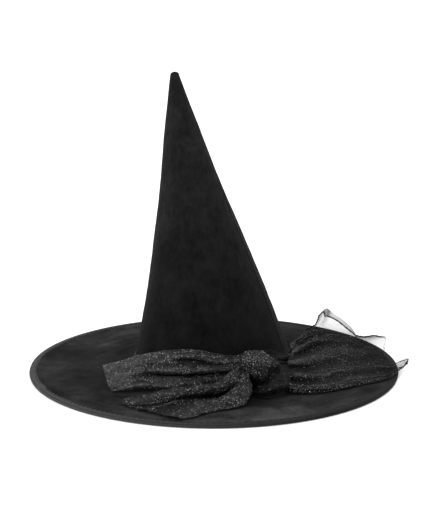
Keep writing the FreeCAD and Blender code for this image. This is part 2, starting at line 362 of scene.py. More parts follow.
# %% Organza
def organza(name, valley, ridge, specks, glint):
    """The cloth's own marks say how far each place is up a fold, how pale its ridges are painted, and how
    much the cloth hides there. Valleys are painted dark and ridges pale, as painted shade and painted
    light, and specks are painted mostly on the ridges."""
    net = Finish(name, Roughness=0.6, Specular_IOR_Level=0.08, Sheen_Weight=0.015, Sheen_Roughness=0.4)
    fold = net.mark("fold")
    weave = net.remap(net.noise(420, 3), 0.3, 0.7)
    # Dark valley tone and pale ridge tone: painted shade in the folds and painted light on their ridges.
    valley_shade_tone = net.mix(weave, grey(valley * 0.85), grey(valley * 1.15))
    ridge_light_tone = net.mix(weave, grey(ridge * 0.85), grey(ridge * 1.15))
    # Noise patches painted as the light and shade of crumpled cloth, scaled by the glow mark.
    crumple = net.times(net.remap(net.noise(95, 3), 0.36, 0.62, 0.35, 1.0), net.mark("glow"))
    cloth_tone = net.mix(net.times(fold, crumple), valley_shade_tone, ridge_light_tone)
    near = net.node("ShaderNodeTexVoronoi", {"Vector": net.place, "Scale": 850.0})
    chosen = net.node("ShaderNodeSeparateColor", {"Color": near.outputs["Color"]})
    patchy = net.remap(net.noise(60, 2), 0.35, 0.6, 0.3, 1.3)
    # Specks are painted mostly on ridges, so the valleys keep their painted shade.
    chance = net.times(net.times(fold, patchy), specks)
    is_speck = net.sums("LESS_THAN", chosen.outputs["Red"], chance)
    speck = net.times(is_speck, net.sums("LESS_THAN", near.outputs["Distance"], 0.5))
    # Each speck's random brightness is a painted glint.
    silver = net.mix(net.sums("POWER", chosen.outputs["Green"], 3.0), grey(0.015), grey(glint))
    net.paint("Base Color", net.mix(speck, cloth_tone, silver))
    net.paint("Alpha", net.times(net.mark("cover"), net.remap(weave, 0.0, 1.0, 0.85, 1.1)))
    net.bump(weave, 0.2, 0.0002)
    return net.material


folded_organza = organza("organza in folds", 0.003, ridge=0.066, specks=0.42, glint=0.4)
sheer_organza = organza("organza in a fan", 0.003, ridge=0.007, specks=0.45, glint=0.28)
# A darker copy of the sash's cloth with few specks. On the band it is painted shade; on the knot's lobe it is
# partly the plain back of the cloth and partly painted shade.
plain_and_shaded_organza = organza("organza with few specks", 0.003, ridge=0.014, specks=0.04, glint=0.25)
hem_thread = spun_thread("hem roll", 0.02)
sheer_thread = Finish("sheer hem roll", Roughness=0.6, Specular_IOR_Level=0.2)
sheer_thread.paint("Alpha", sheer_thread.mark("cover"))
sheer_thread.paint("Base Color", sheer_thread.mix(sheer_thread.noise(2500, 1), grey(0.004), grey(0.012)))

flake = Finish("silver flake", Metallic=1.0, Roughness=0.25)
flake.paint("Base Color", flake.mix(flake.remap(flake.noise(900, 1), 0.3, 0.7), grey(0.03), grey(0.34)))
flake_silver = flake.material
print("sash cloths:", folded_organza.name, sheer_organza.name, plain_and_shaded_organza.name)

# %% [markdown]
# ## Mesh helpers
# Every cloth piece here is a grid of points that a formula places. A grid can be closed round (a
# ring or a tube) or open, and a second grid under it gives the cloth a thickness.

# %% Mesh helpers
def add_piece(name, points, faces, material, body, smooth=True, blend=None, marks=None):
    """Makes a mesh object from points and faces. It rides on a body, or with blend is baked in place and
    rides on none.
    """
    mesh = bpy.data.meshes.new(name)
    mesh.from_pydata([tuple(p) for p in points], [], faces)
    mesh.update()
    if smooth:
        mesh.shade_smooth()
    mesh.materials.append(material)
    for mark, values in (marks or {}).items():
        numbers = np.asarray(values, np.float32).ravel()
        mesh.attributes.new(mark, "FLOAT", "POINT").data.foreach_set("value", numbers)
    piece = bpy.data.objects.new(name, mesh)
    bpy.context.scene.collection.objects.link(piece)
    if blend:
        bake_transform(piece)
    else:
        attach(piece, body)
    print(name, len(mesh.polygons), "faces")
    return piece


def grid_faces(rows, columns, closed_rows=False, closed_columns=False, start=0, flip=False):
    """Quads between neighbouring points of a grid that is stored row by row."""
    faces = []
    for i in range(rows if closed_rows else rows - 1):
        for j in range(columns if closed_columns else columns - 1):
            down, right = (i + 1) % rows, (j + 1) % columns
            quad = (start + i * columns + j, start + i * columns + right,
                    start + down * columns + right, start + down * columns + j)
            faces.append(quad[::-1] if flip else quad)
    return faces


def cap_faces(start, count, tip, flip=False):
    """Triangles from a ring of points to one point."""
    faces = [(start + j, start + (j + 1) % count, tip) for j in range(count)]
    return [face[::-1] for face in faces] if flip else faces


# %% [markdown]
# ## Crown
# The crown is one flat fan of velour, rolled up and sewn down one side. Stiff inside, it keeps a
# clean cone, but the hand feels shallow dents, and the seam pulls a narrow groove with puckers
# beside it. A ring of points per height places all of this; extra columns sit at the seam.

# %% Crown
SEAM_OFFSETS = np.array([-7, -4.5, -3, -2, -1.3, -0.7, 0, 0.7, 1.3, 2, 3, 4.5, 7]) * MM
CROWN_COLUMNS = 200
CROWN_ROWS = 170
CROWN_THICKNESS = 0.8 * MM


def seam_groove(offset, z):
    """How far the velour is drawn in beside the seam."""
    groove = 1.1 * MM * math.exp(-((offset / (1.1 * MM)) ** 2))
    pucker = 0.35 * MM * math.exp(-((offset / (5 * MM)) ** 2)) * math.sin(z / (2.6 * MM))
    return -groove + pucker


def crown_section(z, inset):
    """One ring of the crown at height z: seam columns first, then the rest of the way round."""
    radius = max(crown_radius(z) - inset, 0.2 * MM)
    spread = min(1.0, 0.3 * radius / SEAM_OFFSETS[-1])
    seam = [SEAM_ANGLE + o * spread / radius for o in SEAM_OFFSETS]
    gap = 2 * math.pi - (seam[-1] - seam[0])
    rest = [seam[-1] + gap * (k + 1) / (CROWN_COLUMNS + 1) for k in range(CROWN_COLUMNS)]
    ring = []
    for k, angle in enumerate(seam + rest):
        x, y = math.cos(angle), math.sin(angle)
        calm = min(1.0, (z - BRIM_TOP) / (12 * MM))
        dent = 0.7 * MM * (1 + ripple(x * 0.1, y * 0.1, z * 0.5, 0.035))
        dent += 0.3 * MM * ripple(x * 0.1, y * 0.1, z, 0.014)
        push = dent * calm * min(1.0, radius / (20 * MM))
        if k < len(SEAM_OFFSETS):
            push += seam_groove(SEAM_OFFSETS[k] * spread, z) * spread
        packed = 0.8 * MM * math.exp(-(((HEIGHT - z) / (24 * MM)) ** 2))
        push = 0.0 if inset else max(push, -0.02 * MM) + packed
        ring.append((lean(z) + (radius + push) * x, (radius + push) * y, z))
    return ring


def crown_tip(angle_up):
    """A ring on the rounded tip, a little lumpy where the turned cloth is packed inside."""
    ring = []
    for x, y, z in crown_section(TIP_Z, 0.0):
        middle = lean(TIP_Z)
        lump = 1 + 0.14 * ripple(x - middle, y, TIP_Z + angle_up * 0.01, 0.004)
        ring.append((middle + (x - middle) * math.cos(angle_up) * lump, y * math.cos(angle_up) * lump,
                     TIP_Z + TIP_RADIUS * math.sin(angle_up)))
    return ring


heights = np.linspace(BRIM_TOP, TIP_Z, CROWN_ROWS)
columns = CROWN_COLUMNS + len(SEAM_OFFSETS)
outer = [p for z in heights for p in crown_section(z, 0.0)]
for turn in (18, 36, 54, 70, 82):
    outer += crown_tip(math.radians(turn))
outer_rows = len(outer) // columns
faces = grid_faces(outer_rows, columns, closed_columns=True)
outer.append((lean(TIP_Z), 0.0, HEIGHT))
last = (outer_rows - 1) * columns
faces += cap_faces(last, columns, len(outer) - 1)
inner_start = len(outer)
inner_heights = heights[: CROWN_ROWS - 12 : 3]
inner = [p for z in inner_heights for p in crown_section(z, CROWN_THICKNESS)]
faces += grid_faces(len(inner_heights), columns, closed_columns=True, start=inner_start, flip=True)
faces += [((j + 1) % columns, j, inner_start + j, inner_start + (j + 1) % columns) for j in range(columns)]
inner_last = inner_start + (len(inner_heights) - 1) * columns
inner_top = inner_start + len(inner)
inner.append((lean(inner_heights[-1]), 0.0, inner_heights[-1] + 2 * MM))
faces += cap_faces(inner_last, columns, inner_top, flip=True)
crown = add_piece("crown_cover", outer + inner, faces, crown_cloth, "hat")
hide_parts("crown_velour")

# %% [markdown]
# ## Brim
# The top of the brim is a flat ring of the same velour, laid on stiff felt. Real ones are never quite
# flat: the pile shows slow waves, and a few creases run round the crown's foot where the cloth was
# eased in. The waves die out at both edges, where stitches hold the ring down.

# %% Brim
BRIM_ROWS = 96
BRIM_COLUMNS = 480
brim_inner = -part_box("sweatband")[0][0] + 0.6 * MM
brim_outer = brim_high[0]


def brim_height(x, y):
    """How high the velour stands over its flat height."""
    r = math.hypot(x, y)
    hold = min(1.0, (brim_outer - r) / (12 * MM)) * min(1.0, (r - brim_inner) / (4 * MM))
    slow = 0.7 * MM * (1 + ripple(x, y, 0.3, 0.05))
    easing = 0.9 * MM * max(0.0, ripple(math.atan2(y, x) * 0.05, r * 1.6, 0.0, 0.016))
    return max(0.0, hold) * (slow + easing)


# Patches where the brim is painted paler or darker: partly pile that hands have stroked, and partly
# painted light and shade, such as a painted highlight along a crease at the back left. Columns:
# direction in degrees, distance from the middle, half-sizes round and outwards in millimetres, and how
# much paler (or darker) the brim is painted there.
PILE_AND_LIGHT_PATCHES = [
    (126, 188, 42, 20, 0.3), (139, 163, 36, 3, 0.6), (148, 128, 30, 20, -0.34), (160, 165, 22, 26, -0.2),
    (-166, 158, 34, 34, -0.22), (-150, 188, 40, 14, 0.12), (-134, 165, 36, 22, -0.2),
    (-112, 196, 24, 12, 0.12), (-86, 205, 42, 10, 0.28), (-66, 184, 30, 16, 0.28), (-52, 196, 22, 8, -0.1),
    (-40, 205, 34, 9, 0.08), (-36, 206, 9, 2.5, -0.4), (-24, 200, 24, 10, -0.22), (62, 184, 40, 16, 0.12),
    (44, 132, 22, 14, -0.18), (-74, 150, 26, 12, -0.12), (30, 190, 24, 12, -0.2), (90, 150, 60, 20, -0.1),
    (-178, 196, 26, 12, 0.12),
]


def pile_and_light_tone(x, y):
    """How much paler than usual the brim is painted at a place: the pile's own patches and painted light and
    shade.
    """
    r, a = math.hypot(x, y), math.degrees(math.atan2(y, x))
    tone = 0.4 * ripple(x, y, 5.0, 0.012) + 0.25 * ripple(x, y, 9.0, 0.022)
    for angle, radius, half_round, half_out, gain in PILE_AND_LIGHT_PATCHES:
        turned = math.radians((a - angle + 180) % 360 - 180) * radius * MM
        off = (turned / (half_round * MM)) ** 2 + ((r - radius * MM) / (half_out * MM)) ** 2
        tone += 2.1 * gain * math.exp(-off)
    return tone


points = []
patch_tones = []
for i in range(BRIM_ROWS):
    r = brim_inner + (brim_outer - brim_inner) * i / (BRIM_ROWS - 1)
    for j in range(BRIM_COLUMNS):
        a = 2 * math.pi * j / BRIM_COLUMNS
        x, y = r * math.cos(a), r * math.sin(a)
        points.append((x, y, BRIM_TOP + brim_height(x, y)))
        patch_tones.append(pile_and_light_tone(x, y))
under_z = brim_low[2] + 0.02 * MM
for r in (brim_outer, brim_inner):
    for j in range(BRIM_COLUMNS):
        a = 2 * math.pi * j / BRIM_COLUMNS
        points.append((r * math.cos(a), r * math.sin(a), under_z))
        patch_tones.append(0.0)
brim = add_piece("brim_cover", points, grid_faces(BRIM_ROWS + 2, BRIM_COLUMNS, True, True),
                 brim_cloth, "hat", marks={"patch_light_and_shade": patch_tones})
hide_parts("brim_top_velour")

# %% [markdown]
# ## Binding
# The tape is folded over the edge and stitched through, which pulls a small dimple at every stitch.
# Its free edge wanders a little. Where the tape's ends meet, one end is folded under and laps the
# other, which shows as a short raised step.

# %% Binding
TAPE = 0.5 * MM
STITCHES = 180
STITCH_RING = BRIM_RADIUS - 6.7 * MM
JOIN_ANGLE = math.radians(198.3)
TAPE_COLUMNS = STITCHES * 6
FOLD_RADIUS = BINDING_TOP / 2
LAP_HALF = 7 * MM


def tape_profile(wander, lift):
    """The tape's cross-section as (radius, height), round its outside and back along its inside."""
    fold_centre = BRIM_RADIUS - FOLD_RADIUS
    edge = BRIM_RADIUS - 8.5 * MM + wander
    top = BINDING_TOP + lift
    outside = [(edge, top), (edge + 1.8 * MM, top), (edge + 4.5 * MM, top), (fold_centre - 0.5 * MM, top)]
    for k in range(1, 12):
        a = math.pi / 2 - math.pi * k / 12
        outside.append((fold_centre + FOLD_RADIUS * math.cos(a),
                        FOLD_RADIUS * (1 + math.sin(a)) + lift * max(0.0, math.sin(a))))
    outside += [(fold_centre - 0.5 * MM, 0.0), (edge + 4 * MM, 0.0), (edge, 0.0)]
    inside_fold = [(fold_centre + (FOLD_RADIUS - TAPE) * math.cos(a),
                    FOLD_RADIUS + (FOLD_RADIUS - TAPE) * math.sin(a))
                   for a in (-math.pi / 2 + math.pi * k / 8 for k in range(9))]
    return outside + [(edge, TAPE)] + inside_fold + [(edge, BINDING_TOP - TAPE + lift)]


points = []
for j in range(TAPE_COLUMNS):
    a = 2 * math.pi * j / TAPE_COLUMNS
    wander = 0.45 * MM * ripple(math.cos(a) * 0.2, math.sin(a) * 0.2, 0.7, 0.03)
    from_join = ((a - JOIN_ANGLE + math.pi) % (2 * math.pi) - math.pi) * BRIM_RADIUS
    lap = 0.5 * MM * (0.5 - 0.5 * math.tanh((abs(from_join) - LAP_HALF) / (0.6 * MM)))
    stitch_phase = math.cos(a * STITCHES)
    for r, z in tape_profile(wander, 0.1 * MM + lap):
        dimple = 0.0
        if z > BINDING_TOP * 0.9:
            dimple = 0.22 * MM * stitch_phase * math.exp(-(((r - STITCH_RING) / (1.6 * MM)) ** 2))
        points.append((r * math.cos(a), r * math.sin(a), z - dimple))
profile_count = len(points) // TAPE_COLUMNS
binding = add_piece("edge_binding", points, grid_faces(TAPE_COLUMNS, profile_count, True, True),
                    tape_black, "hat")
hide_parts("brim_binding")

# %% [markdown]
# ## The sash: how sheer cloth is shaped here
# Each end of the sash is drawn as a small net of points, like the few pins that hold a draped
# cloth: rows of pins from the knot outwards, and pins across each row. A smooth surface goes through
# them. Pleats are then pressed in along it, deep at the knot where the cloth is drawn together and
# shallow at the free end, and small wrinkles break them up.

# %% Smooth surfaces through pins
def pin_weights(samples, pins):
    """How much each pin counts for each sample along a smooth curve that passes through all the pins."""
    weights = np.zeros((samples, pins))
    for row, s in enumerate(np.linspace(0, pins - 1, samples)):
        i = min(int(s), pins - 2)
        f = s - i
        basis = (-f + 2 * f**2 - f**3, 2 - 5 * f**2 + 3 * f**3, f + 4 * f**2 - 3 * f**3, f**3 - f**2)
        for step, b in zip((-1, 0, 1, 2), basis):
            k = i + step
            if k < 0:
                weights[row, 0] += 2 * b
                weights[row, 1] -= b
            elif k > pins - 1:
                weights[row, -1] += 2 * b
                weights[row, -2] -= b
            else:
                weights[row, k] += b
    return weights / 2


def surface_through(pins, rows, columns):
    """The points of a smooth grid through a net of pins, which are given in millimetres."""
    net = np.array(pins, float) * MM
    along = pin_weights(rows, net.shape[0])
    across = pin_weights(columns, net.shape[1])
    return np.einsum("ri,ijk,cj->rck", along, net, across)


def grid_normals(points):
    along = np.gradient(points, axis=0)
    across = np.gradient(points, axis=1)
    normals = np.cross(along, across)
    return normals / np.maximum(np.linalg.norm(normals, axis=2, keepdims=True), 1e-12)


def noise_grid(u, v, along, across, seed):
    """Smooth noise for each place on a grid, along times finer one way and across times the other."""
    return np.array([[noise.noise(Vector((along * a, across * b, seed))) for b in v[0]] for a in u[:, 0]])


def pressed_pleats(points, pleats, wrinkle, seed, crumple=0.0):
    """Moves a grid along its normals. Each pleat set is (count, depth at the knot, depth at the end, drift).
    crumple is the height of the sharp, wandering creases between them."""
    rows, columns = points.shape[:2]
    u = np.linspace(0, 1, rows)[:, None]
    v = np.linspace(0, 1, columns)[None, :]
    wobble = noise_grid(u, v, 3, 4, seed)
    height = np.zeros((rows, columns))
    slide = np.zeros((rows, columns))
    for count, at_knot, at_end, drift in pleats:
        phase = 2 * math.pi * (count * v + drift * u + 0.55 * wobble)
        depth = at_knot + (at_end - at_knot) * u
        height += depth * (np.sin(phase) + 0.3 * np.sin(2 * phase + 1.0))
        slide += 0.45 * depth * np.cos(phase)
    height += wrinkle * (noise_grid(u, v, 9, 26, seed + 7) + 0.6 * noise_grid(u, v, 30, 50, seed))
    if crumple:
        bent = noise_grid(u, v, 5, 11, seed + 3)
        height += crumple * np.clip(1 - 3.2 * np.abs(bent), 0, 1) ** 1.6 * np.clip(5 * u, 0, 1)
    across = np.gradient(points, axis=1)
    across /= np.maximum(np.linalg.norm(across, axis=2, keepdims=True), 1e-12)
    return points + MM * (height[..., None] * grid_normals(points) + slide[..., None] * across)


def up_the_fold(points, reach=0.09, height=2.6):
    """0 in the bottom of a fold and 1 on its ridge, from how far points stand out from their neighbours."""
    columns = points.shape[1]
    span = max(3, int(columns * reach))
    padded = np.pad(points, ((0, 0), (span, span), (0, 0)), mode="edge")
    sums = np.cumsum(padded, axis=1)
    around = (sums[:, 2 * span:] - sums[:, : columns]) / (2 * span)
    out = np.stack([points[..., 0] * 0.25, points[..., 1], np.full(points.shape[:2], 0.07)], axis=2)
    out /= np.linalg.norm(out, axis=2, keepdims=True)
    standing = np.einsum("ijk,ijk->ij", points - around, out) / (height * MM)
    return np.clip(0.72 + 0.6 * standing, 0.0, 1.0)


BAND_HIGHEST = 34 * MM
LYING = BRIM_TOP + 1.6 * MM


def keep_clear(points):
    """Cloth can't sink into the brim or into the crown and the band round its foot."""
    for p in points.reshape(-1, 3):
        p[2] = max(p[2], LYING)
        z = p[2]
        over_band = min(1.0, max(0.0, (BAND_HIGHEST + 3 * MM - z) / (6 * MM)))
        keep = crown_radius(z) + (1.6 + 2.8 * over_band) * MM
        out = np.array([p[0] - lean(z), p[1]])
        reach = np.linalg.norm(out)
        if reach < keep:
            p[:2] = np.array([lean(z), 0.0]) + out * keep / reach
    return points


def eased(values, samples):
    """A few values spread evenly over a length, with straight steps between them."""
    return np.interp(np.linspace(0, 1, samples), np.linspace(0, 1, len(values)), values)


# %% [markdown]
# ## Flakes and hems
# Specks on real organza are tiny flakes of film that lie nearly flat on the net, so only some of
# them flash. Each is a thin six-sided plate, laid at random on the cloth and tilted a little. The
# cloth's cut edges are closed with a fine rolled hem, a thin cord of thread and net.

# %% Flakes and hems
FLAKE_SIDES = 6


def lay_flakes(name, points, fold, count, seed, body, blend=None, size=0.42, crowding=1.0):
    """Scatters thin plates on both faces of a cloth grid: few in the folds' bottoms, and with crowding
    over 1 most of them near the knot."""
    pick = np.random.default_rng(int(seed))
    normals = grid_normals(points)
    rows, columns = points.shape[:2]
    vertices, faces = [], []
    turn = np.arange(FLAKE_SIDES) * 2 * math.pi / FLAKE_SIDES
    laid = 0
    while laid < count:
        i, j = int(pick.random() ** crowding * (rows - 1)), pick.integers(0, columns - 1)
        if fold[i, j] < pick.random():
            continue
        laid += 1
        a, b = pick.random(2)
        corner = points[i, j] * (1 - a) * (1 - b) + points[i + 1, j] * a * (1 - b)
        middle = corner + points[i, j + 1] * (1 - a) * b + points[i + 1, j + 1] * a * b
        normal = normals[i, j] + 0.35 * pick.normal(size=3)
        normal /= np.linalg.norm(normal)
        side = np.cross(normal, (0.3, 0.2, 0.93))
        side /= np.linalg.norm(side)
        other = np.cross(normal, side)
        radius = size * MM * pick.uniform(0.6, 1.25)
        middle = middle + pick.choice((-0.25, 0.25)) * MM * normals[i, j]
        start = len(vertices)
        for lift in (-0.03 * MM, 0.03 * MM):
            for t in turn:
                vertices.append(middle + radius * (math.cos(t) * side + math.sin(t) * other) + lift * normal)
        faces.append(tuple(start + k for k in reversed(range(FLAKE_SIDES))))
        faces.append(tuple(start + FLAKE_SIDES + k for k in range(FLAKE_SIDES)))
        for k in range(FLAKE_SIDES):
            n = (k + 1) % FLAKE_SIDES
            faces.append((start + k, start + n, start + FLAKE_SIDES + n, start + FLAKE_SIDES + k))
    return add_piece(name, vertices, faces, flake_silver, body, False, blend)


def rolled_hem(name, line, radius, body, blend=None, cover=None):
    """A thin tube along a line of points, a little uneven like rolled net. With cover it is see-through."""
    line = np.asarray(line)
    sides = 8
    material = hem_thread if cover is None else sheer_thread.material
    marks = None if cover is None else {"cover": np.repeat(cover, sides)}
    tangents = np.gradient(line, axis=0)
    tangents /= np.maximum(np.linalg.norm(tangents, axis=1, keepdims=True), 1e-12)
    vertices = []
    for k, (p, t) in enumerate(zip(line, tangents)):
        side = np.cross(t, (0.12, 0.3, 0.94))
        side /= np.linalg.norm(side)
        up = np.cross(side, t)
        thick = radius * MM * (1 + 0.3 * math.sin(k * 1.7) * math.sin(k * 0.61))
        for q in range(sides):
            a = 2 * math.pi * q / sides
            vertices.append(p + thick * (math.cos(a) * side + math.sin(a) * up))
    faces = grid_faces(len(line), sides, closed_columns=True)
    faces.append(tuple(range(sides))[::-1])
    faces.append(tuple((len(line) - 1) * sides + q for q in range(sides)))
    return add_piece(name, vertices, faces, material, body, blend=blend, marks=marks)


def mesh_area(piece):
    return sum(f.area for f in piece.data.polygons)


def packed_marks(fold, glow=1.0):
    """The marks of cloth that lets nothing through and glows the same all over."""
    return {"fold": fold, "cover": np.ones(fold.shape), "glow": np.full(fold.shape, glow)}


def sash_end(name, points, pleats, wrinkle, seed, cloth, body, blend, flakes, cad_node,
             flake_size=0.34, hem=0.4, crowding=1.0, cover=None, crumple=0.9, glow=(1, 1),
             glow_across=(1, 1), fade=(1, 1), hem_covers=(None, None, None)):
    """One free end of the sash: cloth, rolled hems on its two long edges and its cut end, and flakes.
    glow and fade run from the knot to the cut end: how pale the ridges are painted, and their height in
    the fold mark, which sets the painted shade and the specks. glow_across paints the ridges darker
    where it is low, a painted shade across the end."""
    rows, columns = points.shape[:2]
    points = pressed_pleats(points, pleats, wrinkle, seed, crumple)
    points = keep_clear(points)
    fold = up_the_fold(points) * eased(fade, rows)[:, None]
    cover = np.ones((rows, columns)) if cover is None else cover
    marks = {"fold": fold, "cover": cover, "glow": np.outer(eased(glow, rows), eased(glow_across, columns))}
    piece = add_piece(name, points.reshape(-1, 3), grid_faces(rows, columns), cloth, body,
                      blend=blend, marks=marks)
    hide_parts(cad_node)
    edges = (points[:, 0], points[:, -1], points[-1])
    extras = [rolled_hem(f"{name}_hem_{edge}", line, hem, body, blend, hem_cover)
              for edge, line, hem_cover in zip(("a", "b", "end"), edges, hem_covers)]
    extras.append(lay_flakes(f"{name}_flakes", points, fold * (cover > 0.5), flakes, seed, body, blend,
                             flake_size, crowding))


# %% [markdown]
# ## Upper left end
# This end leaves the knot high up, leans back on the crown above the band, and comes down to the
# brim at its cut end. Its upper part is taut and its lower part folds under.

# %% Upper left end
def row_at(x, *places):
    """A row of pins that share one place along X."""
    return [(x, y, z) for y, z in places]


upper_pins = [
    row_at(46, (-88, 44), (-92, 43), (-96, 43), (-99, 42), (-98, 41), (-101, 40), (-103, 39), (-98, 36),
           (-94, 35), (-98, 35), (-101, 34), (-102, 33), (-97, 32)),
    row_at(34, (-80, 47), (-85, 46), (-91, 45), (-95, 45), (-96, 43), (-98, 42), (-101, 40), (-96, 37),
           (-91, 35), (-97, 35), (-101, 35), (-102, 34), (-97, 32)),
    row_at(19, (-84, 47), (-89, 47), (-95, 46), (-99, 45), (-100, 43), (-102, 41), (-106, 37), (-100, 34),
           (-95, 31), (-102, 31), (-107, 30), (-108, 28), (-102, 26)),
    row_at(1, (-85, 51), (-91, 50), (-98, 49), (-103, 46), (-99, 43), (-105, 41), (-109, 38), (-102, 34),
           (-96, 31), (-103, 29), (-106, 26), (-104, 22), (-101, 20)),
    row_at(-16, (-82, 53), (-89, 55), (-97, 53), (-102, 50), (-95, 46), (-103, 42), (-110, 37),
           (-102, 33), (-95, 28), (-103, 28), (-107, 25), (-108, 20), (-103, 17)),
    row_at(-34, (-77, 52), (-84, 55), (-93, 53), (-98, 50), (-92, 45), (-100, 41), (-107, 35), (-99, 31),
           (-91, 27), (-100, 27), (-106, 23), (-107, 18), (-101, 14)),
    row_at(-51, (-69, 49), (-77, 52), (-86, 50), (-91, 46), (-93, 42), (-95, 38), (-101, 34), (-93, 29),
           (-85, 24), (-94, 25), (-100, 21), (-102, 15), (-96, 11)),
    row_at(-69, (-58, 43), (-66, 47), (-75, 45), (-80, 41), (-83, 38), (-85, 34), (-90, 31), (-86, 27),
           (-82, 23), (-87, 22), (-93, 19), (-97, 14), (-93, 10)),
    row_at(-86, (-56, 39), (-62, 42), (-68, 40), (-73, 37), (-76, 33), (-80, 31), (-84, 28), (-84, 26),
           (-83, 23), (-85, 21), (-88, 18), (-93, 14), (-91, 10)),
    [(-104, -55, 33), (-104, -60, 35), (-104, -65, 33), (-104, -70, 31), (-104, -74, 28), (-103, -78, 26),
     (-103, -81, 23), (-103, -82, 21), (-103, -83, 19), (-103, -86, 17), (-103, -89, 14), (-103, -94, 11),
     (-102, -92, 8)],
    [(-130, -55, 27), (-130, -60, 28), (-129, -64, 26), (-128, -68, 23), (-127, -71, 20), (-126, -74, 19),
     (-125, -77, 17), (-125, -80, 15), (-124, -82, 13), (-123, -85, 11), (-121, -88, 9), (-118, -91, 7),
     (-116, -90, 6.5)],
]
upper_blend = ("hat", "upper_tail", (0.046, -0.1, 0.045), (0.010, -0.1, 0.045))
sash_end("sash_end_upper", surface_through(upper_pins, rows=180, columns=150),
         pleats=[(4.4, 0.5, 0.3, 0.25), (11.0, 0.3, 0.1, -0.5)], wrinkle=0.45, seed=3.0,
         cloth=folded_organza, body="upper_tail", blend=upper_blend, flakes=2300,
         cad_node="sash_tail_upper", glow=(0.34, 0.42, 0.55, 0.8, 1.7))

# %% [markdown]
# ## Lower left end
# The second end runs out along the brim in front of the first. Both its long edges roll into fat
# folds, and the cloth between them is slack. It is cut on a slant. The slack cloth between the folds is
# painted darker, a painted shade.

# %% Lower left end
lower_pins = [
    [(40, -100, 40), (40, -106, 39), (42, -108, 35), (42, -108, 31), (42, -105, 28), (42, -104, 27),
     (42, -105, 28), (43, -107, 31), (43, -110, 37), (45, -112, 35), (47, -111, 31), (47, -106, 26)],
    [(30, -103, 41), (30, -108, 40), (33, -111, 36), (33, -111, 31), (34, -107, 27), (34, -105, 26),
     (34, -107, 28), (34, -109, 31), (34, -114, 38), (37, -116, 36), (40, -116, 31), (40, -109, 25)],
    [(22, -106, 35), (23, -114, 38), (27, -120, 34), (28, -119, 25), (29, -113, 21), (29, -111, 19),
     (29, -111, 19), (30, -113, 20), (31, -120, 30), (37, -128, 30), (44, -126, 22), (42, -118, 14)],
    [(13, -108, 29), (14, -116, 32), (17, -123, 30), (21, -121, 21), (20, -114, 15), (20, -112, 13),
     (20, -113, 13), (20, -116, 14), (26, -127, 24), (34, -137, 21), (42, -136, 16), (38, -127, 8)],
    [(-1, -108, 20), (0, -117, 24), (4, -125, 23), (8, -124, 17), (8, -115, 11), (8, -114, 8),
     (9, -118, 8), (12, -122, 8), (17, -135, 19), (26, -148, 17), (34, -151, 10), (31, -145, 7)],
    [(-17, -110, 19), (-16, -118, 23), (-13, -125, 21), (-8, -124, 15), (-8, -115, 9), (-8, -119, 7),
     (-6, -129, 8), (-2, -132, 7), (5, -146, 15), (13, -158, 14), (21, -160, 8), (20, -157, 7)],
    [(-35, -111, 15), (-34, -119, 20), (-32, -127, 18), (-30, -125, 11), (-30, -120, 7), (-29, -125, 7),
     (-28, -133, 9), (-24, -136, 7), (-11, -151, 14), (-5, -164, 13), (4, -168, 8), (2, -168, 7)],
    [(-57, -112, 12), (-56, -119, 17), (-54, -131, 16), (-52, -134, 9), (-51, -129, 7), (-50, -137, 7),
     (-47, -148, 10), (-39, -149, 7), (-25, -157, 13), (-18, -173, 12), (-11, -179, 8), (-13, -178, 7)],
    [(-78, -116, 8), (-78, -121, 12), (-77, -136, 13), (-75, -144, 8), (-74, -143, 7), (-72, -152, 7),
     (-67, -166, 10), (-55, -164, 7), (-39, -166, 12), (-32, -182, 11), (-26, -194, 8), (-28, -195, 7)],
    [(-97, -121, 8), (-104, -133, 9), (-108, -140, 10), (-100, -151, 7), (-93, -157, 7), (-86, -165, 7),
     (-78, -172, 9), (-69, -177, 7), (-60, -186, 8), (-51, -196, 9), (-41, -201, 8), (-37, -200, 7)],
]
lower_blend = ("hat", "lower_tail", (0.050, -0.12, 0.014), (0.016, -0.12, 0.014))
# The low values across the middle of this end paint the slack cloth darker, a painted shade.
sash_end("sash_end_lower", surface_through(lower_pins, rows=160, columns=160),
         pleats=[(5.2, 0.4, 0.5, -0.3), (13.0, 0.3, 0.15, 0.4)], wrinkle=0.45, seed=11.0,
         cloth=folded_organza, body="lower_tail", blend=lower_blend, flakes=1900,
         cad_node="sash_tail_lower", crumple=1.4, glow=(0.45, 0.42, 0.42, 0.5),
         glow_across=(0.9, 1, 1, 0.5, 0.2, 0.25, 0.35, 0.5, 1, 1, 0.6))

# %% [markdown]
# ## Sheer right end
# The third end opens into a wide fan over the brim, one layer thick, so the brim shows through it.
# Each line of pins runs along one fold or valley, from the root to the cut edge. The middle of the fan
# lies on the brim, and its cut edge stands up in two soft puffs and hangs one corner in the air.

